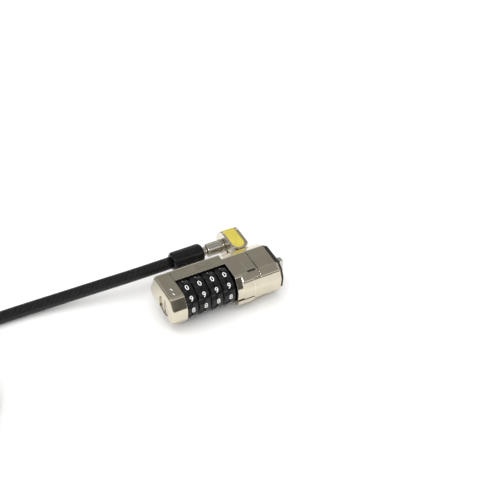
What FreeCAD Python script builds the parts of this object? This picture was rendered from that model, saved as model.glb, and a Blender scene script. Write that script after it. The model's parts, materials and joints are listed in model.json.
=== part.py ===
import FreeCAD, Part
import math
import os
import re

# Laptop cable lock: a four-dial combination head that clicks onto an anchor in a laptop's
# security slot, with a swivelling link at its side that holds a 5 mm steel cable.
# Lengths are in millimetres. Every position below is given from the dial axis, at the plane of
# the head's rear face: x runs along the head towards the laptop, y away from the dials' open
# side, z up. place() moves that into the part's frame, whose origin is the bottom centre of the
# lock without its cable.

DIMENSIONS = {
    # where the part's origin lies, from the dial axis at the rear face
    "origin_x": 26.1,
    "origin_y": 9.6,
    "axis_height": 8.9,
    # casing
    "cap_length": 6.2,
    "bay_end": 28.1,
    "bay_radius": 8.0,
    "neck_end": 31.6,
    "block_start": 30.4,
    "block_ramp": 0.8,
    "casing_seam": 35.4,
    "casing_top_seam": 38.4,
    "casing_end": 47.5,
    "parting_height": 2.7,
    "spine_lip": 2.6,
    "keel_near": 1.3,
    "keel_far": 8.4,
    "rim_round": 1.1,
    "latch_bore": 5.8,
    "latch_bore_end": 43.6,
    "web_end": 31.0,
    "crown_level": 5.4,
    "panel_gap": 0.25,
    "nose_round": 1.1,
    "seal_inset": 0.9,
    "casing_half_width": 10.0,
    "cover_inset": 0.3,
    # the lower cover's screws, with heights from the surface the lock stands on
    "screw_radius": 0.8,
    "screw_head_radius": 1.4,
    "screw_sink": 0.3,
    "screw_head_top": 1.1,
    "screw_reach": 6.9,
    "screw_drive_length": 1.8,
    "screw_drive_width": 0.4,
    "screw_drive_depth": 0.5,
    # dials and code rings
    "dial_start": 6.5,
    "dial_pitch": 5.4,
    "dial_width": 5.1,
    "dial_radius": 7.7,
    "dial_bore": 5.0,
    "dial_bevel": 0.55,
    "grip_radius": 1.7,
    "grip_depth": 0.75,
    "grip_share": 0.48,
    "ring_width": 3.0,
    "gate_width": 1.8,
    "gate_radius": 3.9,
    # spindle and its latch cup, drawn back to let the jaws open
    "spindle_radius": 2.55,
    "spindle_start": 2.9,
    "bearing_gap": 0.05,
    "lug_thickness": 0.7,
    "lug_offset": 0.7,
    "lug_radius": 3.5,
    "lug_width": 1.2,
    "cup_start": 32.2,
    "cup_floor": 1.0,
    "cup_radius": 5.4,
    "cup_bore": 3.75,
    "cup_mouth": 4.55,
    "cup_cone_start": 36.0,
    "cup_end": 38.6,
    "spring_radius": 3.5,
    "spring_length": 1.0,
    # detents, in bores that run away from the open side
    "detent_offset": 1.3,
    "detent_bore": 0.7,
    "detent_bore_near": 7.5,
    "detent_bore_depth": 3.4,
    "detent_ball_radius": 0.65,
    "detent_ball_y": 8.75,
    "detent_spring_radius": 0.5,
    "detent_spring_start": 9.45,
    "detent_spring_length": 1.4,
    # code reset disc
    "disc_radius": 4.1,
    "disc_recess": 0.6,
    "disc_seat": 1.5,
    "stem_bore": 1.7,
    "stem_bore_end": 2.7,
    "coin_slot_width": 1.3,
    "coin_slot_depth": 0.5,
    # latch jaws, drawn apart, and their carrier
    "jaw_travel": 1.2,
    "jaw_start": 40.3,
    "jaw_length": 2.0,
    "jaw_bore": 2.1,
    "jaw_back": 3.62,
    "jaw_front": 4.24,
    "jaw_split": 2.0,
    "carrier_start": 42.9,
    "carrier_thickness": 0.5,
    # anchor
    "post_radius": 2.8,
    "post_start": 38.2,
    "groove_radius": 2.0,
    "groove_start": 40.1,
    "groove_length": 2.4,
    "flange_start": 47.8,
    "flange_end": 48.9,
    "flange_radius": 4.2,
    "slot_wall": 1.8,
    "tee_thickness": 1.5,
    "tee_length": 6.6,
    "tee_width": 2.6,
    "tee_shaft": 1.3,
    # front seal
    "seal_start": 47.55,
    "seal_thickness": 0.8,
    "seal_hole": 4.6,
    # swivel link
    "link_y": 23.1,
    "link_z": -0.2,
    "barrel_radius": 5.55,
        "link_end": 45.2,
    "link_top_near": 4.25,
    "link_top_far": 6.02,
    "link_start": 37.9,
    "link_near": 13.15,
    "link_far": 28.65,
    "lug_round": 2.6,
    "pivot_x": 41.3,
    "pivot_y": 16.5,
    "pivot_radius": 1.0,
    "tongue_round": 2.9,
    "tongue_low": 2.3,
    "tongue_high": 0.1,
    "tongue_gap": 0.3,
    "tongue_root": 10.8,
    "pin_reach": 8.5,
    "cap_radius": 4.0,
    "cap_depth": 1.0,
    "ring_seat": 41.2,
    "ring_room": 3.3,
    "inlay_width": 5.3,
    "inlay_near": 13.55,
    "inlay_depth": 0.4,
    "inlay_gap": 0.1,
    "inlay_bed": 0.05,
    # ferrule, sleeve and cable
    "ferrule_start": 30.0,
    "ferrule_end": 37.6,
    "ferrule_radius": 2.75,
    "stem_radius": 2.2,
    "stem_end": 42.6,
    "ring_thickness": 0.7,
    "neck_radius": 1.9,
    "sleeve_start": 14.4,
    "sleeve_end": 28.4,
    "sleeve_radius": 4.0,
    "sleeve_round": 1.6,
    "cable_radius": 2.5,
    # the put-away coil of cable, its tie and the loop on the cable's end
    "coil_x": 105.7,
    "coil_y": -1.1,
    "coil_inside": 19.1,
    "coil_outside": 36.1,
    "coil_height": 15.8,
    "coil_round": 2.4,
    "tie_width": 14.0,
    "tie_thickness": 0.6,
    "crimp_half_height": 3.3,
    "crimp_length": 11.0,
    "crimp_start": 4.0,
    "loop_offset": 19.9,
    "strand_offset": 2.6,
}

DIAL_NAMES = ("dial_1", "dial_2", "dial_3", "dial_4")
RING_NAMES = ("code_ring_1", "code_ring_2", "code_ring_3", "code_ring_4")
GRIPS = 10
WIDE = 20  # more than the casing is wide or high
JAW_REACH = 10.0  # more than a jaw is wide
GRIP_ANGLE = 35.0  # degrees from straight up towards the open side, between two digits

# Sections of the casing, looking along +x: (y, z, corner radius). The flat top slopes down
# towards the open side. CASING is the cap and the dial bay, NECK the web behind the bay, BLOCK
# the latch housing and FLARE the lower cover under the web.
CASING = (
    (8.1, 8.9, 0.9),
    (-5.7, 7.3, 1.5),
    (-8.8, 2.0, 4.5),
    (-8.1, -5.6, 3.4),
    (11.9, -2.5, 2.6),
    (12.5, 1.0, 3.0),
)
NECK = (
    (5.3, 8.57, 0.9),
    (-5.7, 7.3, 1.5),
    (-8.8, 2.0, 4.5),
    (-8.1, -5.6, 3.4),
    (11.2, -3.9, 2.4),
    (12.5, 1.2, 3.0),
    (10.4, 5.9, 1.2),
)
BLOCK = (
    (5.3, 8.57, 0.9),
    (-5.4, 7.35, 1.2),
    (-7.9, 5.0, 1.6),
    (-9.3, 1.2, 3.6),
    (-8.4, -4.6, 2.6),
    (-3.6, -6.6, 2.0),
    (11.2, -3.9, 2.4),
    (12.5, 1.2, 3.0),
    (10.4, 5.9, 1.2),
)
FLARE = (
    (10.4, 5.9, 1.2),
    (-7.9, 5.0, 1.6),
    (-9.3, 1.2, 3.6),
    (-8.5, -6.5, 2.4),
    (11.2, -3.9, 2.4),
    (12.5, 1.2, 3.0),
)

# The cable's route from the sleeve down to the surface and along it to the coil.
CABLE_ROUTE = (
    (14.4, 23.1, -0.2),
    (2.0, 23.3, -0.5),
    (-14.0, 25.8, -2.3),
    (-33.0, 29.8, -5.4),
    (-53.0, 31.3, -6.3),
    (-71.0, 31.0, -6.4),
    (-88.0, 31.2, -6.4),
    (-102.7, 32.3, -6.35),
)

# The cable's end, from inside the coil's top, up over its turns and into the crimp, round the
# loop and back into the crimp. Places are from the coil's centre, heights from the surface.
LOOP_ROUTE = (
    (21.0, 13.5, 13.3),
    (17.8, 18.1, 14.6),
    (9.6, 22.4, 17.8),
    (2.5, 22.5, 19.1),
    (-10.0, 22.5, 19.1),
    (-20.5, 28.9, 18.9),
    (-32.0, 33.6, 18.6),
    (-40.0, 31.0, 18.4),
    (-45.0, 24.1, 18.3),
    (-45.0, 15.7, 18.3),
    (-40.0, 8.8, 18.4),
    (-32.0, 6.2, 18.6),
    (-20.5, 10.9, 18.9),
    (-10.0, 17.3, 19.1),
    (1.5, 17.3, 19.1),
)

# The screws that hold the lower cover: (x, y).
COVER_SCREWS = ((29.3, 6.4), (29.3, 3.2))

BARREL = ("link_y", "link_z")

V = FreeCAD.Vector
doc = FreeCAD.newDocument("cable_lock")
sheet = doc.addObject("Spreadsheet::Sheet", "dims")
for row, (alias, value) in enumerate(DIMENSIONS.items(), start=1):
    sheet.set(f"A{row}", alias)
    sheet.set(f"B{row}", str(value))
    sheet.setAlias(f"B{row}", alias)
doc.recompute()

ALIAS = re.compile(r"\b(" + "|".join(sorted(DIMENSIONS, key=len, reverse=True)) + r")\b")
TURN = {
    "x": FreeCAD.Rotation(V(0, 1, 0), 90),
    "y": FreeCAD.Rotation(V(1, 0, 0), -90),
    "z": FreeCAD.Rotation(),
}
nodes = []


def size(name):
    """A dimension's value, as the sheet holds it."""
    return float(sheet.get(name))


def bind(item, prop, text):
    """Bind a property to an expression whose words are the sheet's aliases."""
    item.setExpression(prop, ALIAS.sub(r"dims.\1", str(text)))


def place(item, x=0, y=0, z=0):
    """Put an item at a place given from the dial axis, in the part's frame."""
    bind(item, ".Placement.Base.x", f"({x}) - origin_x")
    bind(item, ".Placement.Base.y", f"({y}) - origin_y")
    bind(item, ".Placement.Base.z", f"({z}) + axis_height")
    return item


def in_frame(x, y, z):
    """A point given from the dial axis, in the part's frame."""
    return V(x - size("origin_x"), y - size("origin_y"), z + size("axis_height"))


def rod(name, axis, radius, length, x=0, y=0, z=0):
    item = doc.addObject("Part::Cylinder", name)
    item.Placement = FreeCAD.Placement(V(), TURN[axis])
    bind(item, "Radius", radius)
    bind(item, "Height", length)
    return place(item, x, y, z)


def cone(name, radius1, radius2, length, x=0, y=0, z=0):
    item = doc.addObject("Part::Cone", name)
    item.Placement = FreeCAD.Placement(V(), TURN["x"])
    bind(item, "Radius1", radius1)
    bind(item, "Radius2", radius2)
    bind(item, "Height", length)
    return place(item, x, y, z)


def ball(name, radius, x, y, z):
    item = doc.addObject("Part::Sphere", name)
    bind(item, "Radius", radius)
    return place(item, x, y, z)


def block(name, x, y, z, length, width, height):
    item = doc.addObject("Part::Box", name)
    bind(item, "Length", length)
    bind(item, "Width", width)
    bind(item, "Height", height)
    return place(item, x, y, z)


def join(name, *items):
    item = doc.addObject("Part::MultiFuse", name)
    item.Shapes = list(items)
    return item


def common(name, *items):
    item = doc.addObject("Part::MultiCommon", name)
    item.Shapes = list(items)
    return item


def cut(name, base, *tools):
    item = doc.addObject("Part::Cut", name)
    item.Base = base
    item.Tool = tools[0] if len(tools) == 1 else join(name + "_tools", *tools)
    return item


def node(item, label=None):
    """Keep an item as one of the lock's pieces. Its label names its file."""
    item.Label = label or item.Name
    nodes.append(item)
    return item


def rounded(corners):
    """The lines and arcs of a closed outline, from its corners (u, v, radius)."""
    pieces, ends = [], []
    for k, (u, v, radius) in enumerate(corners):
        here = V(u, v, 0)
        to_last = (V(*corners[k - 1][:2], 0) - here).normalize()
        to_next = (V(*corners[(k + 1) % len(corners)][:2], 0) - here).normalize()
        half = to_last.getAngle(to_next) / 2
        if radius:
            run = radius / math.tan(half)
            inward = (to_last + to_next).normalize()
            middle = here + inward * (radius / math.sin(half) - radius)
            ends.append((here + to_last * run, middle, here + to_next * run))
        else:
            ends.append((here, None, here))
    for k, (start, middle, end) in enumerate(ends):
        if middle:
            pieces.append(Part.Arc(start, middle, end))
        following = ends[(k + 1) % len(ends)][0]
        if end.distanceToPoint(following) > 1e-6:
            pieces.append(Part.LineSegment(end, following))
    return pieces


def sketch_on(body, role, corners):
    sketch = body.newObject("Sketcher::SketchObject", body.Name + "_sketch")
    plane = next(f for f in body.Origin.OriginFeatures if f.Role == role)
    sketch.AttachmentSupport = [(plane, "")]
    sketch.MapMode = "FlatFace"
    sketch.addGeometry(rounded(corners), False)
    return sketch


def bar(name, corners, start, length):
    """A straight bar along x with a given section."""
    body = doc.addObject("PartDesign::Body", name)
    pad = body.newObject("PartDesign::Pad", name + "_pad")
    pad.Profile = sketch_on(body, "YZ_Plane", corners)
    bind(pad, "Length", length)
    body.Tip = pad
    place(body, start)
    doc.recompute()
    return body


def soften_rim(body, x, amount):
    """Round the edges of a bar's end face, which lies at x along the bar."""
    base = body.Tip
    edges = []
    for k, edge in enumerate(base.Shape.Edges, start=1):
        if all(abs(vertex.X - x) < 1e-6 for vertex in edge.Vertexes):
            edges.append(f"Edge{k}")
    rim = body.newObject("PartDesign::Fillet", body.Name + "_rim")
    rim.Base = (base, edges)
    bind(rim, "Radius", amount)
    body.Tip = rim
    doc.recompute()
    return body


def turned(name, corners, about="x"):
    """A turned piece, from half its section: (along, radius) about x, (radius, up) about z."""
    body = doc.addObject("PartDesign::Body", name)
    role, axis = ("XY_Plane", "H_Axis") if about == "x" else ("XZ_Plane", "V_Axis")
    sketch = sketch_on(body, role, corners)
    turn = body.newObject("PartDesign::Revolution", name + "_turn")
    turn.Profile = sketch
    turn.ReferenceAxis = (sketch, [axis])
    turn.Angle = 360
    body.Tip = turn
    doc.recompute()
    return body


def tangent_path(points):
    """Straight runs joined by arcs as large as their runs allow, and the arcs' radii."""
    edges, radii, last = [], [], points[0]
    for before, here, after in zip(points, points[1:], points[2:]):
        back, ahead = before - here, after - here
        reach = 0.45 * min(back.Length, ahead.Length)
        back.normalize()
        ahead.normalize()
        half_turn = (math.pi - back.getAngle(ahead)) / 2
        radius = reach / math.tan(half_turn)
        inward = (back + ahead).normalize()
        middle = here + inward * (radius / math.cos(half_turn) - radius)
        start, end = here + back * reach, here + ahead * reach
        edges.append(Part.LineSegment(last, start).toShape())
        edges.append(Part.Arc(start, middle, end).toShape())
        radii.append(radius)
        last = end
    edges.append(Part.LineSegment(last, points[-1]).toShape())
    return Part.Wire(edges), radii


def cord(name, points, radius):
    """A round cord along a route of straight runs and tangent arcs."""
    path, radii = tangent_path(points)
    along = points[1] - points[0]
    profile = Part.Wire(Part.makeCircle(radius, points[0], along))
    item = doc.addObject("Part::Feature", name)
    item.Shape = path.makePipeShell([profile], True, False)
    expected = math.pi * radius**2 * path.Length
    print(
        f"{name}: {path.Length:.1f} mm long, volume {item.Shape.Volume:.0f} of {expected:.0f},"
        f" radii {', '.join(f'{r:.0f}' for r in radii)}"
    )
    return item


# --- Casing -------------------------------------------------------------------------------


def lower_half(name, start, length):
    """The space under the casing's parting plane."""
    return block(name, start, -WIDE, f"-parting_height - {WIDE}", length, 2 * WIDE, WIDE)


def dial_bay(name):
    return rod(name, "x", "bay_radius", "bay_end - cap_length", "cap_length")


def latch_bore(name):
    return rod(name, "x", "latch_bore", "latch_bore_end - web_end", "web_end")


def make_end_cap():
    shell = soften_rim(bar("cap_bar", CASING, 0, "cap_length"), 0.0, "rim_round")
    stem_length = "stem_bore_end - disc_seat"
    bearing = "spindle_radius + bearing_gap"
    node(
        cut(
            "end_cap",
            shell,
            rod("cap_disc_seat", "x", "disc_radius + bearing_gap", "disc_seat"),
            rod("cap_stem_bore", "x", "stem_bore", stem_length, "disc_seat"),
            rod("cap_spindle_bore", "x", bearing, "cap_length - stem_bore_end", "stem_bore_end"),
            lower_half("cap_under", 0, "cap_length"),
        )
    )


def detent_places():
    """Where each dial's detent lies along the head, as expressions."""
    return [f"dial_start + {k} * dial_pitch + dial_width / 2 + detent_offset" for k in range(4)]


def make_main_casing():
    spine_start = "cap_length + panel_gap"
    bearing = "spindle_radius + bearing_gap"
    solids = [
        bar("main_spine", CASING, spine_start, f"bay_end - ({spine_start})"),
        bar("main_neck", NECK, "bay_end", "neck_end - bay_end"),
        soften_rim(
            bar("main_block", BLOCK, "block_start", "casing_seam - block_start"),
            0.0,
            "block_ramp",
        ),
        common(
            "main_crown",
            bar("main_crown_bar", BLOCK, "casing_seam", "casing_top_seam - casing_seam"),
            block("main_crown_top", "casing_seam", -WIDE, "crown_level", WIDE, 2 * WIDE, WIDE),
        ),
    ]
    hollows = [
        dial_bay("main_bay"),
        latch_bore("main_latch_bore"),
        lower_half("main_under", 0, "casing_end"),
        block(
            "main_open_side",
            "cap_length",
            -WIDE,
            -WIDE,
            "bay_end - cap_length",
            f"{WIDE} + spine_lip",
            2 * WIDE,
        ),
        rod("main_web_bore", "x", bearing, "web_end - bay_end + 2", "bay_end - 1"),
    ]
    for k, x in enumerate(detent_places(), start=1):
        hollows.append(
            rod(f"main_detent_{k}", "y", "detent_bore", "detent_bore_depth", x, "detent_bore_near")
        )
    for k, (x, y) in enumerate(COVER_SCREWS, start=1):
        hollows.append(
            rod(f"main_screw_bore_{k}", "z", "screw_radius", "screw_reach + 0.3", x, y, "-axis_height")
        )
    node(cut("main_casing", join("main_solid", *solids), *hollows))


def keel(name, start, length):
    """The flat-bottomed ridge that the head rests on."""
    width, height = "keel_near + keel_far", "axis_height - parting_height"
    return block(name, start, "-keel_near", "-axis_height", length, width, height)


def make_bottom_cover():
    start, end = "cover_inset", "casing_seam - panel_gap"
    shell = join(
        "cover_shell",
        bar("cover_rear", CASING, start, f"bay_end - {start}"),
        bar("cover_flare", FLARE, "bay_end", f"{end} - bay_end"),
    )
    low_top = f"-parting_height - panel_gap - {WIDE}"
    lower = common(
        "cover_lower", shell, block("cover_below", 0, -WIDE, low_top, "casing_end", 2 * WIDE, WIDE)
    )
    bay_length = "bay_end - cap_length"
    open_near = block(
        "cover_open_near", "cap_length", -WIDE, -WIDE, bay_length, f"{WIDE} - keel_near", 2 * WIDE
    )
    open_far = block("cover_open_far", "cap_length", "keel_far", -WIDE, bay_length, WIDE, 2 * WIDE)
    ridge_start = "cap_length + panel_gap"
    ridge = cut(
        "cover_ridge",
        keel("cover_keel", ridge_start, f"{end} - ({ridge_start})"),
        block(
            "cover_ridge_top", 0, -WIDE, "-parting_height - panel_gap", "casing_end", 2 * WIDE, WIDE
        ),
    )
    holes = [
        dial_bay("cover_bay"),
        rod("cover_disc_seat", "x", "disc_radius + bearing_gap", "disc_seat"),
        latch_bore("cover_latch_bore"),
    ]
    for k, (x, y) in enumerate(COVER_SCREWS, start=1):
        bore = "screw_radius + bearing_gap"
        seat = "screw_head_radius + 2 * bearing_gap"
        holes.append(rod(f"cover_screw_bore_{k}", "z", bore, "axis_height", x, y, "-axis_height"))
        holes.append(rod(f"cover_screw_seat_{k}", "z", seat, "screw_head_top", x, y, "-axis_height"))
    trimmed = cut("cover_trimmed", lower, open_near, open_far)
    node(cut("bottom_cover", join("cover_solid", trimmed, ridge), *holes))


def make_front_collar():
    length = "casing_end - casing_seam"
    shell = bar("collar_bar", BLOCK, "casing_seam", length)
    shell = soften_rim(shell, size("casing_end") - size("casing_seam"), "nose_round")
    tongue_height = "tongue_low + tongue_high"
    arm = block(
        "collar_arm",
        "pivot_x - tongue_round",
        "tongue_root",
        "-tongue_low",
        "2 * tongue_round",
        "pivot_y - tongue_root",
        tongue_height,
    )
    eye = rod("collar_eye", "z", "tongue_round", tongue_height, "pivot_x", "pivot_y", "-tongue_low")
    crown_room = block(
        "collar_crown_room",
        "casing_seam - 1",
        -WIDE,
        "crown_level - panel_gap",
        "casing_top_seam - casing_seam + 1 + panel_gap",
        2 * WIDE,
        WIDE,
    )
    pivot_bore = "pivot_radius + bearing_gap"
    node(
        cut(
            "front_collar",
            join(
                "collar_solid",
                shell,
                keel("collar_keel", "casing_seam", length + " - nose_round"),
                arm,
                eye,
            ),
            crown_room,
            latch_bore("collar_latch_bore"),
            rod("collar_post_bore", "x", "post_radius + bearing_gap", WIDE, "latch_bore_end - 1"),
            rod("collar_pivot_bore", "z", pivot_bore, WIDE, "pivot_x", "pivot_y", -WIDE / 2),
        )
    )


def make_front_seal():
    share = 1 - size("seal_inset") / size("casing_half_width")
    section = [(y * share, z * share, radius) for y, z, radius in BLOCK]
    pad = bar("seal_bar", section, "seal_start", "seal_thickness")
    node(cut("front_seal", pad, rod("seal_hole_rod", "x", "seal_hole", 3, "seal_start - 1")))


def make_cover_screws():
    screws = []
    for k, (x, y) in enumerate(COVER_SCREWS, start=1):
        low = "screw_sink - axis_height"
        shank_start = "screw_head_top - axis_height"
        head = rod(
            f"screw_head_{k}", "z", "screw_head_radius", "screw_head_top - screw_sink", x, y, low
        )
        shank = rod(
            f"screw_shank_{k}", "z", "screw_radius", "screw_reach - screw_head_top", x, y, shank_start
        )
        drive = block(
            f"screw_drive_{k}",
            f"{x} - screw_drive_length / 2",
            f"{y} - screw_drive_width / 2",
            low,
            "screw_drive_length",
            "screw_drive_width",
            "screw_drive_depth",
        )
        screws.append(cut(f"screw_{k}", join(f"screw_solid_{k}", head, shank), drive))
    group = doc.addObject("Part::Compound", "cover_screws")
    group.Links = screws
    node(group)


# --- Dials, code rings, detents, spindle and reset disc ---------------------------------------


def make_dial(index):
    name = DIAL_NAMES[index]
    width, radius, bore = size("dial_width"), size("dial_radius"), size("dial_bore")
    bevel = size("dial_bevel")
    profile = (
        (0, bore, 0),
        (width, bore, 0),
        (width, radius - bevel, 0),
        (width - bevel, radius, 0),
        (bevel, radius, 0),
        (0, radius - bevel, 0),
    )
    body = turned(name, profile)
    grip = body.newObject("PartDesign::SubtractiveCylinder", name + "_grip")
    angle = math.radians(GRIP_ANGLE)
    reach = size("grip_radius") + radius - size("grip_depth")
    centre = V(-1, -reach * math.sin(angle), reach * math.cos(angle))
    grip.Placement = FreeCAD.Placement(centre, TURN["x"])
    bind(grip, "Radius", "grip_radius")
    bind(grip, "Height", "dial_width * grip_share + 1")
    doc.recompute()
    pattern = body.newObject("PartDesign::PolarPattern", name + "_grips")
    pattern.Originals = [grip]
    spin_axis = next(f for f in body.Origin.OriginFeatures if f.Role == "X_Axis")
    pattern.Axis = (spin_axis, [""])
    pattern.Angle = 360
    pattern.Occurrences = GRIPS
    body.Tip = pattern
    place(body, f"dial_start + {index} * dial_pitch")
    node(body)


def make_code_ring(index):
    name = RING_NAMES[index]
    start = f"dial_start + {index} * dial_pitch + (dial_width - ring_width) / 2"
    gate = block(
        name + "_gate", f"{start} - 1", "-gate_width / 2", 0,
        "ring_width + 2", "gate_width", "gate_radius",
    )
    node(
        cut(
            name,
            rod(name + "_outside", "x", "dial_bore", "ring_width", start),
            rod(name + "_bore", "x", "spindle_radius + bearing_gap", "ring_width + 2", f"{start} - 1"),
            gate,
        )
    )


def make_spindle():
    length = "cup_start - spindle_start + 0.5"
    shaft = rod("spindle_shaft", "x", "spindle_radius", length, "spindle_start")
    lugs = []
    for k in range(4):
        gap_middle = f"dial_start + {k} * dial_pitch - (dial_pitch - dial_width) / 2"
        lugs.append(
            block(
                f"spindle_lug_{k + 1}",
                f"{gap_middle} + lug_offset - lug_thickness / 2",
                "-lug_width / 2",
                0,
                "lug_thickness",
                "lug_width",
                "lug_radius",
            )
        )
    floor = "cup_start + cup_floor"
    cup = cut(
        "spindle_cup",
        rod("cup_outside", "x", "cup_radius", "cup_end - cup_start", "cup_start"),
        rod("cup_inside", "x", "cup_bore", f"cup_cone_start - ({floor})", floor),
        cone("cup_cone", "cup_bore", "cup_mouth", "cup_end - cup_cone_start", "cup_cone_start"),
    )
    node(join("spindle", shaft, cup, *lugs))


def make_spindle_spring():
    inside = "spindle_radius + 2 * bearing_gap"
    start = "cup_start - spring_length - 0.1"
    node(
        cut(
            "spindle_spring",
            rod("spring_outside", "x", "spring_radius", "spring_length", start),
            rod("spring_inside", "x", inside, "spring_length + 2", start + " - 1"),
        )
    )


def make_detents():
    balls, springs = [], []
    for k, x in enumerate(detent_places(), start=1):
        balls.append(ball(f"detent_ball_{k}", "detent_ball_radius", x, "detent_ball_y", 0))
        springs.append(
            rod(
                f"detent_spring_{k}",
                "y",
                "detent_spring_radius",
                "detent_spring_length",
                x,
                "detent_spring_start",
            )
        )
    for name, group in (("detent_balls", balls), ("detent_springs", springs)):
        item = doc.addObject("Part::Compound", name)
        item.Links = group
        node(item)


def make_reset_disc():
    disc = rod("disc_face", "x", "disc_radius", "disc_seat - disc_recess - bearing_gap", "disc_recess")
    stem = rod("disc_stem", "x", "stem_bore - 0.1", "stem_bore_end - disc_seat", "disc_seat - 0.1")
    slot = block(
        "disc_slot",
        "disc_recess",
        "-coin_slot_width / 2",
        "-disc_radius",
        "coin_slot_depth",
        "coin_slot_width",
        "2 * disc_radius",
    )
    node(cut("reset_disc", join("disc_solid", disc, stem), slot))


# --- Latch and anchor ---------------------------------------------------------------------------


def make_jaw(name, side):
    """Half of the ring that holds the anchor's groove. side is -1 near the open side, 1 far."""
    apart = f"{side} * jaw_travel"
    edge = "jaw_travel + jaw_split / 2"
    near = f"-{JAW_REACH}" if side < 0 else edge
    half = block(
        name + "_half",
        "jaw_start - 1",
        near,
        -JAW_REACH,
        "jaw_length + 2",
        f"{JAW_REACH} - ({edge})",
        2 * JAW_REACH,
    )
    ring = cut(
        name + "_ring",
        cone(name + "_cone", "jaw_back", "jaw_front", "jaw_length", "jaw_start", apart),
        rod(name + "_bore", "x", "jaw_bore", "jaw_length + 2", "jaw_start - 1", apart),
    )
    node(common(name, ring, half))


def make_jaw_carrier():
    node(
        cut(
            "jaw_carrier",
            rod("carrier_outside", "x", "latch_bore - 0.3", "carrier_thickness", "carrier_start"),
            rod("carrier_inside", "x", "post_radius + 0.3", 3, "carrier_start - 1"),
        )
    )


def make_anchor():
    post = rod("post_shank", "x", "post_radius", "flange_start - post_start", "post_start")
    groove = cut(
        "post_groove",
        rod("groove_outside", "x", "post_radius + 1", "groove_length", "groove_start"),
        rod("groove_inside", "x", "groove_radius", 6, "groove_start - 1"),
    )
    shaft_bore = rod("post_bore", "x", "tee_shaft + bearing_gap", 14, "post_start - 1")
    node(cut("anchor_post", post, groove, shaft_bore))

    flange = rod("flange_disc", "x", "flange_radius", "flange_end - flange_start", "flange_start")
    flange_bore = rod("flange_bore", "x", "tee_shaft + bearing_gap", 4, "flange_start - 1")
    node(cut("anchor_flange", flange, flange_bore))

    pegs = []
    for k, low in enumerate(("-tee_length / 2", "tee_shaft + 0.25"), start=1):
        pegs.append(
            block(
                f"slot_peg_{k}", "flange_end", "-tee_width / 2", low,
                "slot_wall - 0.1", "tee_width", "tee_length / 2 - tee_shaft - 0.25",
            )
        )
    group = doc.addObject("Part::Compound", "slot_pegs")
    group.Links = pegs
    node(group)

    length = "flange_end + slot_wall - post_start + 1"
    shaft = rod("tee_shaft_rod", "x", "tee_shaft", length, "post_start - 0.5")
    head = rod("tee_tail", "x", 2.0, 0.7, "post_start - 0.8")
    bar_head = block(
        "tee_head", "flange_end + slot_wall", "-tee_width / 2", "-tee_length / 2",
        "tee_thickness", "tee_width", "tee_length",
    )
    node(join("tee_bar", shaft, head, bar_head))


# --- Swivel link -------------------------------------------------------------------------------


def link_solid(name, lowered):
    """The link's body, rounded at its near corners and about the ferrule at its far end."""
    radius, level = size("barrel_radius"), size("link_z")
    near, far = size("link_near"), size("link_far")
    section = (
        (near, level - radius, 0.6),
        (far, level - radius, radius - 0.01),
        (far, size("link_top_far"), radius - 0.2),
        (near, size("link_top_near"), 0.6),
    )
    shape = bar(name + "_bar", section, "link_start", "link_end - link_start")
    bind(shape, ".Placement.Base.z", f"axis_height - {lowered}")
    low, tall = -WIDE, 2 * WIDE
    far_part = block(
        name + "_far_part",
        "link_start",
        "link_near + lug_round",
        low,
        "link_end - link_start",
        WIDE,
        tall,
    )
    near_part = block(
        name + "_near_part",
        "link_start + lug_round",
        "link_near",
        low,
        "link_end - link_start - 2 * lug_round",
        "lug_round",
        tall,
    )
    corners = [
        rod(f"{name}_corner_{k}", "z", "lug_round", tall, x, "link_near + lug_round", low)
        for k, x in enumerate(("link_start + lug_round", "link_end - lug_round"), start=1)
    ]
    return common(name, shape, join(name + "_plan", far_part, near_part, *corners))


def inlay_space(name, gap, depth):
    """The pill-shaped strip along the link's top and over its far end."""
    radius = f"(inlay_width / 2 - {gap})"
    near = "inlay_near + inlay_width / 2"
    level = "link_z + 0.7"
    strip = block(
        name + "_strip", f"pivot_x - {radius}", near, level, f"2 * {radius}", WIDE, WIDE
    )
    end = rod(name + "_end", "z", radius, WIDE, "pivot_x", near, level)
    skin = cut(name + "_skin", link_solid(name + "_outer", 0), link_solid(name + "_inner", depth))
    return common(name, join(name + "_plan", strip, end), skin)


def make_link():
    slot = block(
        "link_slot",
        "link_start - 1",
        "link_near - 1",
        "-tongue_low - tongue_gap",
        WIDE,
        "pivot_y + tongue_round + tongue_gap - link_near + 1",
        "tongue_low + tongue_high + 2 * tongue_gap",
    )
    stem_bore = "stem_radius + bearing_gap"
    pin_low = "link_z - barrel_radius"
    cap_seat = "link_end - cap_depth"
    node(
        cut(
            "swivel_link",
            link_solid("link_body", 0),
            inlay_space("link_recess", 0, "inlay_depth"),
            slot,
            rod("link_stem_bore", "x", stem_bore, "link_end - link_start", "link_start - 1", *BARREL),
            rod("link_ring_bore", "x", "ring_room", WIDE, "ring_seat", *BARREL),
            rod("link_cap_seat", "x", "cap_radius", WIDE, cap_seat, *BARREL),
            rod("link_pin_bore", "z", "pivot_radius", "pin_reach", "pivot_x", "pivot_y", pin_low),
        )
    )
    node(inlay_space("link_inlay", "inlay_gap", "(inlay_depth - inlay_bed)"))
    pin = ("pin_reach - 0.1", "pivot_x", "pivot_y", pin_low + " + 0.1")
    node(rod("link_pin", "z", "pivot_radius", *pin))
    node(rod("barrel_cap", "x", "cap_radius - bearing_gap", "cap_depth - 0.1", cap_seat, *BARREL))


# --- Cable end, cable, coil and loop --------------------------------------------------------------


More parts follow.
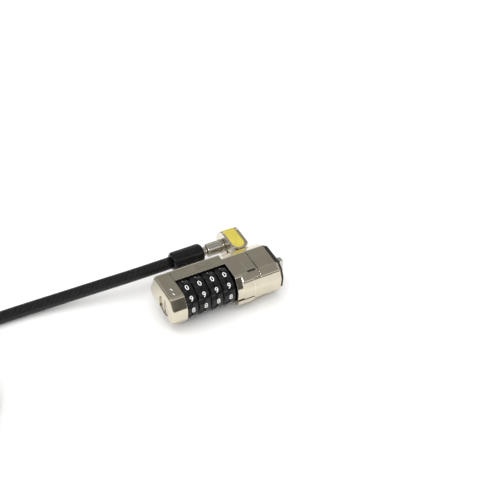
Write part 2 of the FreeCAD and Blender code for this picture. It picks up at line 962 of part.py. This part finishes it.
def make_ferrule():
    start, end, tip = size("ferrule_start"), size("ferrule_end"), size("stem_end")
    radius, stem, neck = size("ferrule_radius"), size("stem_radius"), size("neck_radius")
    shell = (
        (size("sleeve_end") - 2, 0, 0),
        (size("sleeve_end") - 2, neck, 0),
        (start, neck, 0),
        (start, radius, 1.0),
        (end, radius, 0.3),
        (end, stem, 0),
        (tip, stem, 0.4),
        (tip, 0, 0),
    )
    node(place(turned("ferrule", shell), 0, *BARREL))
    ring_start = "ring_seat + 0.2"
    node(
        cut(
            "retaining_ring",
            rod("retaining_outside", "x", "ring_room - 0.3", "ring_thickness", ring_start, *BARREL),
            rod("retaining_inside", "x", "stem_radius", WIDE, "ring_seat - 1", *BARREL),
        )
    )


def make_sleeve():
    start, end = size("sleeve_start"), size("sleeve_end")
    radius, neck = size("sleeve_radius"), size("neck_radius")
    around = size("sleeve_round")
    shell = (
        (start, 0, 0),
        (start, radius, around),
        (end, radius, around),
        (end, neck, 0),
        (end - 2, neck, 0),
        (end - 2, 0, 0),
    )
    node(place(turned("cable_sleeve", shell), 0, *BARREL))


def make_cable():
    points = [in_frame(*p) for p in CABLE_ROUTE]
    node(cord("cable", points, size("cable_radius")))


def make_coil():
    inside, outside = size("coil_inside"), size("coil_outside")
    height, around = size("coil_height"), size("coil_round")
    section = (
        (inside, 0, around),
        (outside, 0, around),
        (outside, height, around),
        (inside, height, around),
    )
    ring = place(turned("coil_ring", section, "z"), "-coil_x", "coil_y", "-axis_height")
    width = "coil_outside - coil_inside"
    outer = block(
        "tie_outer", "-coil_x - tie_width / 2", "coil_y - coil_outside - tie_thickness", "-axis_height",
        "tie_width", f"{width} + 2 * tie_thickness", "coil_height + tie_thickness",
    )
    inner = block(
        "tie_inner", "-coil_x - tie_width", "coil_y - coil_outside", "tie_thickness - axis_height",
        "2 * tie_width", width, "coil_height - tie_thickness",
    )
    tie = node(cut("coil_tie", outer, inner))
    node(cut("cable_coil", ring, tie))


def make_end_loop():
    level = "coil_height + crimp_half_height - axis_height"
    middle = "coil_y + loop_offset"
    low_end = "-coil_x + crimp_start - crimp_length"
    sides = [
        rod(f"crimp_side_{k}", "x", "crimp_half_height", "crimp_length", low_end, y, level)
        for k, y in enumerate((middle + " - strand_offset", middle + " + strand_offset"), start=1)
    ]
    flat = block(
        "crimp_flat", low_end, middle + " - strand_offset", "coil_height - axis_height",
        "crimp_length", "2 * strand_offset", "2 * crimp_half_height",
    )
    centre = in_frame(-size("coil_x"), size("coil_y"), -size("axis_height"))
    points = [centre + V(*p) for p in LOOP_ROUTE]
    loop = node(cord("end_loop", points, size("cable_radius")))
    node(cut("end_crimp", join("crimp_solid", *sides, flat), loop))


make_end_cap()
make_main_casing()
make_bottom_cover()
make_front_collar()
make_front_seal()
make_cover_screws()
for number in range(4):
    make_dial(number)
    make_code_ring(number)
make_spindle()
make_spindle_spring()
make_detents()
make_reset_disc()
make_jaw("jaw_near", -1)
make_jaw("jaw_far", 1)
make_jaw_carrier()
make_anchor()
make_link()
make_ferrule()
make_sleeve()
make_cable()
make_coil()
make_end_loop()
doc.recompute()

failed = [f"{o.Label} {o.State}" for o in doc.Objects if {"Invalid", "Error"} & set(o.State)]
for item in nodes:
    if item.Shape.isNull() or not item.Shape.isValid():
        failed.append(f"{item.Label} has no valid shape")
if failed:
    raise RuntimeError("; ".join(failed))

os.makedirs("parts", exist_ok=True)
for item in nodes:
    item.Shape.exportStep(f"parts/{item.Label}.step")
    box = item.Shape.BoundBox
    print(
        f"{item.Label}: {len(item.Shape.Solids)} solid(s), {item.Shape.Volume:.1f} mm3,"
        f" x {box.XMin:.2f}..{box.XMax:.2f} y {box.YMin:.2f}..{box.YMax:.2f}"
        f" z {box.ZMin:.2f}..{box.ZMax:.2f}"
    )
print(len(nodes), "nodes")
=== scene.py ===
import json
import math
import bpy
import bmesh
from mathutils import Matrix, Vector


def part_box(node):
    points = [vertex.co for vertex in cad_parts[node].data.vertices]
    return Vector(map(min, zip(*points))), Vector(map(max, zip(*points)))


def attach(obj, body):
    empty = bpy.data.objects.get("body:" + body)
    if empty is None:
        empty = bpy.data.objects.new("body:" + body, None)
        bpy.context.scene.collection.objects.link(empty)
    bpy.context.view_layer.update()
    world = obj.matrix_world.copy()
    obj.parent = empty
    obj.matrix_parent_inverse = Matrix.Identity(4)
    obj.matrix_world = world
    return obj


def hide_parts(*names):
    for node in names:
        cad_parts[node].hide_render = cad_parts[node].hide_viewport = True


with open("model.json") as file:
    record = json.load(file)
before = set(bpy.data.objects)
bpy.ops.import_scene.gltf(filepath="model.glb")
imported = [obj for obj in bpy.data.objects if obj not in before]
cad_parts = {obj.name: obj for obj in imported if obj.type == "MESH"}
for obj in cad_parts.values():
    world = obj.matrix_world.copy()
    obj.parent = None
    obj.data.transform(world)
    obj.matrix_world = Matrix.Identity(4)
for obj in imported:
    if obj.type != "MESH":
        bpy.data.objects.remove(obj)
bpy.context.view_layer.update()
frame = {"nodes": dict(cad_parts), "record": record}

# --- Places ---------------------------------------------------------------------------------
# The dial axis runs along x. Places below are from that axis, at the head's rear face.

DIALS = ("dial_1", "dial_2", "dial_3", "dial_4")
low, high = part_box("dial_1")
cap_low, cap_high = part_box("end_cap")
ORIGIN = Vector((cap_low[0], (low[1] + high[1]) / 2, (low[2] + high[2]) / 2))
DIAL_RADIUS = (high[2] - low[2]) / 2


def at(x, y, z):
    """A place given in metres from the dial axis at the rear face, in the frame."""
    return ORIGIN + Vector((x, y, z))


# --- Camera ---------------------------------------------------------------------------------

CAMERA_PLACE = (-0.14586, -0.33187, 0.30795)
CAMERA_DIRECTION = (0.3825, 0.6907, -0.6138)
CAMERA_LENS = 88.93  # millimetres, on a sensor of the width below
CAMERA_SENSOR = 36.0
CAMERA_CLIP = 0.01

camera_data = bpy.data.cameras.new("camera")
camera_data.lens = CAMERA_LENS
camera_data.sensor_width = CAMERA_SENSOR
camera_data.clip_start = CAMERA_CLIP
camera = bpy.data.objects.new("camera", camera_data)
bpy.context.scene.collection.objects.link(camera)
bpy.context.scene.camera = camera
camera.location = at(*CAMERA_PLACE)
camera.rotation_euler = Vector(CAMERA_DIRECTION).to_track_quat("-Z", "Y").to_euler()

# --- Materials ------------------------------------------------------------------------------

EDGE_RADIUS = 0.00022  # how softly a moulded or polished edge catches the light
EDGE_SAMPLES = 6
EDGE_TURN = (0.90, 0.995)  # cosine between true and rounded normal, at a full edge and at none
DUST_LIFT = (1.35, 0.004)  # dust's tone, as a factor on the colour and an addition


class Shader:
    """A principled material and short ways to add nodes to it."""

    def __init__(self, name, color, roughness, metallic=0.0):
        self.material = bpy.data.materials.new(name)
        self.material.use_nodes = True
        self.nodes = self.material.node_tree.nodes
        self.links = self.material.node_tree.links
        self.main = self.nodes["Principled BSDF"]
        self.main.inputs["Base Color"].default_value = (*color, 1)
        self.main.inputs["Roughness"].default_value = roughness
        self.main.inputs["Metallic"].default_value = metallic
        self.coords = self.nodes.new("ShaderNodeTexCoord").outputs["Object"]
        bevel = self.nodes.new("ShaderNodeBevel")
        bevel.samples = EDGE_SAMPLES
        bevel.inputs["Radius"].default_value = EDGE_RADIUS
        self.rounded = bevel.outputs["Normal"]

    def node(self, kind, **values):
        node = self.nodes.new(kind)
        for key, value in values.items():
            if hasattr(node, key):
                setattr(node, key, value)
            else:
                node.inputs[key.replace("_", " ").title()].default_value = value
        return node

    def noise(self, scale, detail=3.0, stretch=(1, 1, 1)):
        mapping = self.node("ShaderNodeMapping")
        mapping.inputs["Scale"].default_value = stretch
        self.links.new(self.coords, mapping.inputs["Vector"])
        noise = self.node("ShaderNodeTexNoise", scale=scale, detail=detail)
        self.links.new(mapping.outputs["Vector"], noise.inputs["Vector"])
        return noise.outputs["Fac"]

    def ramp(self, value, low, high, start=0.3, end=0.7):
        ramp = self.node("ShaderNodeMapRange")
        ramp.inputs["From Min"].default_value = start
        ramp.inputs["From Max"].default_value = end
        ramp.inputs["To Min"].default_value = low
        ramp.inputs["To Max"].default_value = high
        self.links.new(value, ramp.inputs["Value"])
        return ramp.outputs["Result"]

    def mix(self, factor, first, second):
        mix = self.node("ShaderNodeMix", data_type="RGBA")
        for socket, value in ((mix.inputs[6], first), (mix.inputs[7], second)):
            if isinstance(value, tuple):
                socket.default_value = (*value, 1)
            else:
                self.links.new(value, socket)
        self.links.new(factor, mix.inputs["Factor"])
        return mix.outputs[2]

    def edges(self):
        """How near a point is to an edge, from 0 to 1."""
        turned = self.node("ShaderNodeVectorMath", operation="DOT_PRODUCT")
        self.links.new(self.rounded, turned.inputs[0])
        self.links.new(self.nodes.new("ShaderNodeNewGeometry").outputs["Normal"], turned.inputs[1])
        return self.ramp(turned.outputs["Value"], 1.0, 0.0, *EDGE_TURN)

    def color(self, output):
        self.links.new(output, self.main.inputs["Base Color"])

    def roughness(self, output):
        self.links.new(output, self.main.inputs["Roughness"])

    def bump(self, height, distance, strength=1.0):
        bump = self.node("ShaderNodeBump")
        bump.inputs["Strength"].default_value = strength
        bump.inputs["Distance"].default_value = distance
        self.links.new(height, bump.inputs["Height"])
        self.links.new(self.rounded, bump.inputs["Normal"])
        self.links.new(bump.outputs["Normal"], self.main.inputs["Normal"])


def plated(name, color, edge_tone, roughness, grain=1400.0, stretch=(1, 1, 1)):
    """Plated or machined metal: slight cloudiness, fine handling marks, edges painted lighter,
    partly as wear and partly as a painted highlight.
    """
    shader = Shader(name, color, roughness, 1.0)
    cloud = shader.ramp(shader.noise(140.0), 0.0, 0.55)
    tone = shader.mix(cloud, color, tuple(c * 0.9 for c in color))
    # Lighter edge colour: partly worn edges, partly a painted highlight along every edge.
    shader.color(shader.mix(shader.edges(), tone, edge_tone))
    marks = shader.noise(260.0, 6.0, stretch)
    shader.roughness(shader.ramp(marks, roughness * 0.75, roughness * 1.5))
    shader.bump(shader.noise(grain, 4.0, stretch), 0.000006, 0.5)
    return shader.material


def moulded(name, color, roughness, grain=900.0, depth=0.00001, edge_tone=None, gloss=0.5):
    """Moulded plastic or rubber: fine grain, uneven sheen, rubbed edges."""
    shader = Shader(name, color, roughness)
    shader.main.inputs["Specular IOR Level"].default_value = gloss
    dust = shader.ramp(shader.noise(320.0, 5.0), 0.0, 0.5)
    factor, addition = DUST_LIFT
    tone = shader.mix(dust, color, tuple(min(1.0, c * factor + addition) for c in color))
    shader.color(shader.mix(shader.edges(), tone, edge_tone or tuple(c + 0.05 for c in color)))
    shader.roughness(shader.ramp(shader.noise(420.0, 4.0), roughness * 0.8, roughness * 1.35))
    shader.bump(shader.noise(grain, 5.0), depth, 0.6)
    return shader.material


def woven(name, color):
    """A woven strap: crossing ribs and soft fuzz."""
    shader = Shader(name, color, 0.9)
    warp = shader.node("ShaderNodeTexWave", scale=900.0, distortion=1.0)
    weft = shader.node("ShaderNodeTexWave", scale=900.0, distortion=1.0, bands_direction="Y")
    shader.links.new(shader.coords, warp.inputs["Vector"])
    shader.links.new(shader.coords, weft.inputs["Vector"])
    both = shader.node("ShaderNodeMath", operation="MULTIPLY")
    shader.links.new(warp.outputs["Fac"], both.inputs[0])
    shader.links.new(weft.outputs["Fac"], both.inputs[1])
    shader.color(shader.mix(both.outputs[0], color, tuple(c * 2.0 + 0.02 for c in color)))
    shader.roughness(shader.ramp(shader.noise(500.0), 0.8, 1.0))
    shader.bump(both.outputs[0], 0.0002, 0.8)
    return shader.material


# The metals' edge colours are lighter than their base: partly wear, partly a painted highlight.
NICKEL = (0.66, 0.61, 0.485)
NICKEL_WEAR_AND_HIGHLIGHT = (0.90, 0.86, 0.78)
STEEL = (0.60, 0.59, 0.57)
STEEL_WEAR_AND_HIGHLIGHT = (0.85, 0.84, 0.82)
BRASS = (0.72, 0.52, 0.24)
BRASS_WEAR_AND_HIGHLIGHT = (0.9, 0.75, 0.45)
DIAL_BLACK = (0.004, 0.004, 0.0045)
DIAL_EDGE = (0.010, 0.010, 0.010)
SLEEVE_BLACK = (0.003, 0.003, 0.0035)
SLEEVE_EDGE = (0.008, 0.008, 0.008)
YELLOW = (0.48, 0.40, 0.055)
YELLOW_EDGE = (0.56, 0.48, 0.14)
DIGIT_WHITE = (0.86, 0.86, 0.83)
DIGIT_EDGE = (0.7, 0.7, 0.68)
# Painted shade: the colour of a flat dark strip that stands for a shaded groove.
GROOVE_SHADE = (0.10, 0.09, 0.08)
GROOVE_EDGE = (0.16, 0.15, 0.13)
MATERIALS = {
    "casing": plated("nickel_casing", NICKEL, NICKEL_WEAR_AND_HIGHLIGHT, 0.1),
    "lower_cover": plated("nickel_cover", (0.68, 0.63, 0.51), NICKEL_WEAR_AND_HIGHLIGHT, 0.11),
    "disc": plated("nickel_disc", (0.60, 0.56, 0.46), NICKEL_WEAR_AND_HIGHLIGHT, 0.14),
    "link": plated("nickel_link", (0.70, 0.66, 0.57), NICKEL_WEAR_AND_HIGHLIGHT, 0.14),
    "ferrule": plated("turned_ferrule", (0.62, 0.59, 0.52), NICKEL_WEAR_AND_HIGHLIGHT, 0.17, 900.0, (14, 1, 1)),
    "steel": plated("hardened_steel", STEEL, STEEL_WEAR_AND_HIGHLIGHT, 0.32, 1100.0, (8, 1, 1)),
    "spring": plated("spring_steel", (0.50, 0.50, 0.52), (0.8, 0.8, 0.8), 0.35),
    "code_ring": plated("machined_brass", BRASS, BRASS_WEAR_AND_HIGHLIGHT, 0.3, 1000.0, (10, 1, 1)),
    "crimp": plated("pressed_aluminium", (0.62, 0.62, 0.62), (0.9, 0.9, 0.9), 0.4),
    "seal": moulded("seal_rubber", (0.02, 0.02, 0.02), 0.7, 1500.0, 0.00003),
    "dial": moulded("dial_plastic", DIAL_BLACK, 0.16, edge_tone=DIAL_EDGE, gloss=0.35),
    "inlay": moulded("yellow_inlay", YELLOW, 0.42, edge_tone=YELLOW_EDGE),
    "sleeve": moulded("gloss_sleeve", SLEEVE_BLACK, 0.1, 500.0, 0.00001, SLEEVE_EDGE, 0.35),
    "tie": woven("tie_weave", (0.03, 0.03, 0.035)),
    "digit": moulded("white_digits", DIGIT_WHITE, 0.55, edge_tone=DIGIT_EDGE),
    "groove": plated("groove_shade", GROOVE_SHADE, GROOVE_EDGE, 0.5),
    "engraving": plated("engraved_panel", (0.50, 0.46, 0.37), NICKEL, 0.3, 2600.0),
}

for part in frame["record"]["subparts"]:
    material = MATERIALS.get(part["material_slot"])
    if material:
        mesh = frame["nodes"][part["node"]].data
        mesh.materials.clear()
        mesh.materials.append(material)


def add(name, mesh, material, body):
    """A finished piece that rides on a body."""
    piece = bpy.data.objects.new(name, mesh)
    bpy.context.scene.collection.objects.link(piece)
    mesh.materials.clear()
    mesh.materials.append(material)
    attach(piece, body)
    return piece


# --- Cable ----------------------------------------------------------------------------------
# The route from the sleeve to the coil and the loop's route repeat the lock's model.

CABLE_DIAMETER = 0.005
CABLE_SIDES = 24
STRANDS = 8
STRAND_TURN = 0.011  # length of cable in which a strand goes once round
STRAND_BANDS = (3.0, 0.5)  # the wave's bands along and around, per turn and per strand
CABLE_ROUTE = (
    (0.0144, 0.0231, -0.0002),
    (0.0020, 0.0233, -0.0005),
    (-0.0140, 0.0258, -0.0023),
    (-0.0330, 0.0298, -0.0054),
    (-0.0530, 0.0313, -0.0063),
    (-0.0710, 0.0310, -0.0064),
    (-0.0880, 0.0312, -0.0064),
    (-0.1027, 0.0323, -0.00635),
)
LOOP_ROUTE = (
    (0.0210, 0.0135, 0.0133),
    (0.0178, 0.0181, 0.0146),
    (0.0096, 0.0224, 0.0178),
    (0.0025, 0.0225, 0.0191),
    (-0.0100, 0.0225, 0.0191),
    (-0.0205, 0.0289, 0.0189),
    (-0.0320, 0.0336, 0.0186),
    (-0.0400, 0.0310, 0.0184),
    (-0.0450, 0.0241, 0.0183),
    (-0.0450, 0.0157, 0.0183),
    (-0.0400, 0.0088, 0.0184),
    (-0.0320, 0.0062, 0.0186),
    (-0.0205, 0.0109, 0.0189),
    (-0.0100, 0.0173, 0.0191),
    (0.0015, 0.0173, 0.0191),
)
COIL_CENTRE = at(-0.1057, -0.0011, -ORIGIN.z)
COIL_OUTER_TURN = 0.0335
COIL_INNER_TURN = 0.0217
COIL_PITCH = 0.00505
COIL_BOTTOM = 0.0031
COIL_START = 0.0025  # height at which the cable comes to the coil
COIL_LIFT = 0.004  # rise a turn, until the coil's bottom layer is reached
COIL_RISE_TURNS = 0.25
COIL_POINTS = 109
POINTS_PER_TURN = 16


def coil_points():
    """Flat layers on each other, wound inwards and outwards by turns, with a step up between."""
    layer_turns = (COIL_OUTER_TURN - COIL_INNER_TURN) / COIL_PITCH
    points = []
    for k in range(1, COIL_POINTS + 1):
        turns = k / POINTS_PER_TURN
        layer, into = divmod(turns, layer_turns + COIL_RISE_TURNS)
        wound = min(into, layer_turns) * COIL_PITCH
        radius = COIL_OUTER_TURN - wound if layer % 2 == 0 else COIL_INNER_TURN + wound
        rise = max(0.0, into - layer_turns) / COIL_RISE_TURNS
        height = min(COIL_BOTTOM, COIL_START + COIL_LIFT * turns) + COIL_PITCH * (layer + rise)
        angle = math.radians(90) + math.tau * turns
        around = Vector((math.cos(angle), math.sin(angle), 0)) * radius
        points.append(COIL_CENTRE + around + Vector((0, 0, height)))
    return points


STRAND_DARK = (0.004, 0.004, 0.0045)
STRAND_LIGHT = (0.009, 0.009, 0.0095)


def cable_material():
    """Smoke-black vinyl over twisted wire: faint slanting strands under a glossy skin."""
    shader = Shader("cable_vinyl", (0.012, 0.012, 0.013), 0.3)
    shader.main.inputs["Specular IOR Level"].default_value = 0.3
    around = shader.nodes.new("ShaderNodeTexCoord").outputs["UV"]
    strands = shader.node("ShaderNodeTexWave", scale=1.0, distortion=0.0, bands_direction="DIAGONAL")
    shader.links.new(around, strands.inputs["Vector"])
    shader.color(shader.mix(strands.outputs["Fac"], STRAND_DARK, STRAND_LIGHT))
    shader.roughness(shader.ramp(shader.noise(500.0, 4.0), 0.22, 0.42))
    shader.bump(strands.outputs["Fac"], 0.00003, 0.3)
    return shader.material


def centreline(points):
    """Points along the smooth line that a route's points control."""
    curve = bpy.data.curves.new("route", "CURVE")
    curve.dimensions = "3D"
    curve.resolution_u = 6
    spline = curve.splines.new("NURBS")
    spline.points.add(len(points) - 1)
    for control, point in zip(spline.points, points):
        control.co = (*point, 1)
    spline.order_u = 3
    spline.use_endpoint_u = True
    holder = bpy.data.objects.new("route", curve)
    line = bpy.data.meshes.new_from_object(holder)
    path = [v.co.copy() for v in line.vertices]
    bpy.data.objects.remove(holder)
    bpy.data.meshes.remove(line)
    return path


def tube_mesh(name, path, radius):
    """A round tube along a path, with strand directions in its UV map."""
    shape = bmesh.new()
    uv = shape.loops.layers.uv.new("strands")
    rings, lengths = [], []
    length = 0.0
    side = Vector((0, 0, 1))
    for k, point in enumerate(path):
        along = (path[min(k + 1, len(path) - 1)] - path[max(k - 1, 0)]).normalized()
        side = (side - along * side.dot(along)).normalized()
        across = along.cross(side)
        if k:
            length += (point - path[k - 1]).length
        lengths.append(length)
        ring = []
        for j in range(CABLE_SIDES):
            angle = math.tau * j / CABLE_SIDES
            out = side * math.cos(angle) + across * math.sin(angle)
            ring.append(shape.verts.new(point + out * radius))
        rings.append(ring)
    for k in range(len(rings) - 1):
        for j in range(CABLE_SIDES):
            n = (j + 1) % CABLE_SIDES
            face = shape.faces.new((rings[k][j], rings[k][n], rings[k + 1][n], rings[k + 1][j]))
            face.smooth = True
            corners = ((k, j), (k, j + 1), (k + 1, j + 1), (k + 1, j))
            for loop, (row, column) in zip(face.loops, corners):
                along_bands = lengths[row] / STRAND_TURN * STRAND_BANDS[0]
                loop[uv].uv = (along_bands, column / CABLE_SIDES * STRANDS * STRAND_BANDS[1])
    shape.faces.new(list(reversed(rings[0])))
    shape.faces.new(rings[-1])
    shape.normal_update()
    mesh = bpy.data.meshes.new(name)
    shape.to_mesh(mesh)
    shape.free()
    return mesh


def make_cable():
    route = [at(*p) for p in CABLE_ROUTE]
    loop = [COIL_CENTRE + Vector(p) for p in LOOP_ROUTE]
    path = centreline(route + coil_points() + loop)
    mesh = tube_mesh("cable_line", path, CABLE_DIAMETER / 2)
    cable = add("cable_line", mesh, cable_material(), "cable")
    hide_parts("cable", "cable_coil", "end_loop")


# --- Digits ---------------------------------------------------------------------------------

DIGIT_HEIGHT = 0.0022
DIGIT_ANGLE = math.radians(18.5)  # the row of zeros, from straight up towards the open side
DIGIT_LIFT = 0.00003
DIGIT_BOLD = 0.00001
FONT_SHARE = 1.42  # the font's size over the height of its digits
DIGITS = 10
DIGIT_SHARE = 0.51  # how far along a dial's width the digits' middle lies


def digit_mesh(text):
    """One digit as a flat mesh, its middle at the origin."""
    curve = bpy.data.curves.new("digit", "FONT")
    curve.body = text
    curve.size = DIGIT_HEIGHT * FONT_SHARE
    curve.align_x = "CENTER"
    curve.align_y = "CENTER"
    curve.offset = DIGIT_BOLD
    curve.resolution_u = 4
    holder = bpy.data.objects.new("digit", curve)
    mesh = bpy.data.meshes.new_from_object(holder)
    bpy.data.objects.remove(holder)
    return mesh


def make_digits():
    shapes = [digit_mesh(str(k)) for k in range(DIGITS)]
    reach = DIAL_RADIUS + DIGIT_LIFT
    for dial in DIALS:
        near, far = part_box(dial)
        middle = near[0] + (far[0] - near[0]) * DIGIT_SHARE
        ring = bmesh.new()
        for k, shape in enumerate(shapes):
            first = len(ring.verts)
            ring.from_mesh(shape)
            ring.verts.ensure_lookup_table()
            turn = DIGIT_ANGLE - math.tau * k / DIGITS
            for vertex in ring.verts[first:]:
                x, up = vertex.co.x, vertex.co.y
                angle = turn - up / DIAL_RADIUS
                y = ORIGIN.y - reach * math.sin(angle)
                z = ORIGIN.z + reach * math.cos(angle)
                vertex.co = Vector((middle + x, y, z))
        mesh = bpy.data.meshes.new(dial + "_digits")
        ring.to_mesh(mesh)
        ring.free()
        piece = add(dial + "_digits", mesh, MATERIALS["digit"], dial)


# --- Marks on the casing's top --------------------------------------------------------------

# Two points of the casing's sloping top, as in the lock's model: (y, z), in metres.
TOP_FAR = (0.0081, 0.0089)
TOP_NEAR = (-0.0057, 0.0073)


def top_facet_z(y):
    """The height of the casing's sloping top at y."""
    (y0, z0), (y1, z1) = TOP_FAR, TOP_NEAR
    return z1 + (z0 - z1) * (y - y1) / (y0 - y1)


PLATE_POINTS = 24
PLATE_RIM = ((0.0, -0.5), (0.0, 0.7), (0.2, 1.0))  # inset and height, as shares of the lift


def plate(name, centre, size, lift, material, rounding=0.5, turn=0.0):
    """A low plate on the casing's top. Rounding is the corner radius as a share of the width."""
    shape = bmesh.new()
    rings = []
    corner = size[1] * rounding
    for inset, share in PLATE_RIM:
        radius = corner - inset * lift
        ring = []
        for k in range(PLATE_POINTS):
            angle = math.tau * (k + 0.5) / PLATE_POINTS
            x = math.cos(angle) * radius + math.copysign(size[0] / 2 - corner, math.cos(angle))
            y = math.sin(angle) * radius + math.copysign(size[1] / 2 - corner, math.sin(angle))
            spot = Vector((x, y)) @ Matrix.Rotation(turn, 2)
            y_here = centre[1] + spot.y
            z = top_facet_z(y_here) + lift * share
            ring.append(shape.verts.new(at(centre[0] + spot.x, y_here, z)))
        rings.append(ring)
    for lower, upper in zip(rings, rings[1:]):
        for k in range(PLATE_POINTS):
            n = (k + 1) % PLATE_POINTS
            shape.faces.new((lower[k], lower[n], upper[n], upper[k])).smooth = True
    shape.faces.new(rings[-1])
    mesh = bpy.data.meshes.new(name)
    shape.to_mesh(mesh)
    shape.free()
    piece = add(name, mesh, material, "head")


def make_marks():
    """Index marks on the cap, an engraved strip on the spine, a plate on the block and a dark strip
    next to it that paints a groove's shade.
    """
    mark, panel = MATERIALS["digit"], MATERIALS["engraving"]
    mark_turn = 1.15
    plate("index_mark_1", (0.00305, -0.0012), (0.0013, 0.00035), 0.00003, mark, turn=mark_turn)
    plate("index_mark_2", (0.00285, -0.0037), (0.0012, 0.00035), 0.00003, mark, turn=mark_turn)
    plate("spine_panel", (0.0175, 0.0051), (0.0180, 0.0026), 0.00003, panel)
    plate("block_plate", (0.0361, -0.0006), (0.0042, 0.0072), 0.00008, MATERIALS["casing"], 0.08)
    # A flat dark strip with no groove cut: painted shade next to the plate.
    plate("block_groove", (0.0357, -0.0050), (0.0036, 0.0010), 0.00002, MATERIALS["groove"], 0.3)


# --- Floor and light ------------------------------------------------------------------------

FLOOR_SIZE = 6.0
FLOOR_WHITE = (0.93, 0.93, 0.93)
OBJECT_PLACE = (0.0, 0.0, 0.01)
NOSE_PLACE = (0.03, -0.005, 0.01)
CARD_BLACK = (0.03, 0.028, 0.026)
NOSE_CARD_BLACK = (0.02, 0.02, 0.02)
KEY_COLOR = (1, 0.995, 0.985)


def flat_mesh(name, width, depth):
    """A flat rectangle about the origin."""
    w, d = width / 2, depth / 2
    mesh = bpy.data.meshes.new(name)
    mesh.from_pydata([(-w, -d, 0), (w, -d, 0), (w, d, 0), (-w, d, 0)], [], [(0, 1, 2, 3)])
    return mesh


def make_floor():
    mesh = flat_mesh("floor", FLOOR_SIZE, FLOOR_SIZE)
    shader = Shader("white_floor", FLOOR_WHITE, 0.6)
    shader.roughness(shader.ramp(shader.noise(30.0), 0.5, 0.7))
    mesh.materials.append(shader.material)
    floor = bpy.data.objects.new("floor", mesh)
    bpy.context.scene.collection.objects.link(floor)


def make_card(name, place, size, target, color):
    """A card that only reflections see, facing a target."""
    mesh = flat_mesh(name, *size)
    shader = Shader(name, color, 0.8)
    shader.bump(shader.noise(40.0), 0.0005, 0.2)
    mesh.materials.append(shader.material)
    card = bpy.data.objects.new(name, mesh)
    bpy.context.scene.collection.objects.link(card)
    card.location = place
    card.rotation_euler = (Vector(target) - Vector(place)).to_track_quat("Z", "Y").to_euler()
    card.visible_camera = False
    card.visible_shadow = False
    card.visible_diffuse = False


def make_lamp(name, place, size, power, color=(1, 1, 1), target=OBJECT_PLACE):
    data = bpy.data.lights.new(name, "AREA")
    data.shape = "RECTANGLE"
    data.size, data.size_y = size
    data.energy = power
    data.color = color
    lamp = bpy.data.objects.new(name, data)
    bpy.context.scene.collection.objects.link(lamp)
    lamp.location = place
    lamp.rotation_euler = (Vector(target) - Vector(place)).to_track_quat("-Z", "Y").to_euler()
    return lamp


# The studio's brightness by the height of the direction looked in: (sine, level).
SKY = (
    (0.0, 0.5),
    (1.0, 0.5),
    (0.1, 0.12),
    (0.3, 0.1),
    (0.42, 0.9),
    (0.6, 0.9),
    (0.69, 0.36),
    (0.78, 0.3),
)
SKY_STRENGTH = 1.05
SKY_TINT = (1.0, 0.99, 0.97)


def make_light():
    world = bpy.data.worlds.new("studio")
    bpy.context.scene.world = world
    world.use_nodes = True
    nodes, links = world.node_tree.nodes, world.node_tree.links
    height = nodes.new("ShaderNodeSeparateXYZ")
    links.new(nodes.new("ShaderNodeTexCoord").outputs["Generated"], height.inputs[0])
    ramp = nodes.new("ShaderNodeValToRGB")
    stops = ramp.color_ramp.elements
    for k, (place, level) in enumerate(SKY):
        stop = stops[k] if k < 2 else stops.new(place)
        stop.position = place
        stop.color = (*(level * tint for tint in SKY_TINT), 1)
    links.new(height.outputs["Z"], ramp.inputs["Fac"])
    links.new(ramp.outputs["Color"], nodes["Background"].inputs["Color"])
    nodes["Background"].inputs["Strength"].default_value = SKY_STRENGTH
    key = make_lamp("key", (-0.25, 0.35, 1.4), (2.4, 2.4), 24.0, KEY_COLOR)
    wash = make_lamp("wash", (0.3, -0.9, 1.2), (1.4, 1.4), 8.0)
    for lamp in (key, wash):
        lamp.visible_glossy = False
    make_lamp("spark", (-0.55, -0.5, 0.55), (0.14, 0.14), 1.6)
    make_card("dark_card", (-0.26, 0.30, 0.12), (0.34, 0.2), OBJECT_PLACE, CARD_BLACK)
    make_card("laptop_side", (0.075, 0.02, 0.02), (0.04, 0.12), NOSE_PLACE, NOSE_CARD_BLACK)


make_cable()
make_digits()
make_marks()
make_floor()
make_light()

scene = bpy.context.scene
scene.view_settings.view_transform = "Standard"
scene.view_settings.look = "None"

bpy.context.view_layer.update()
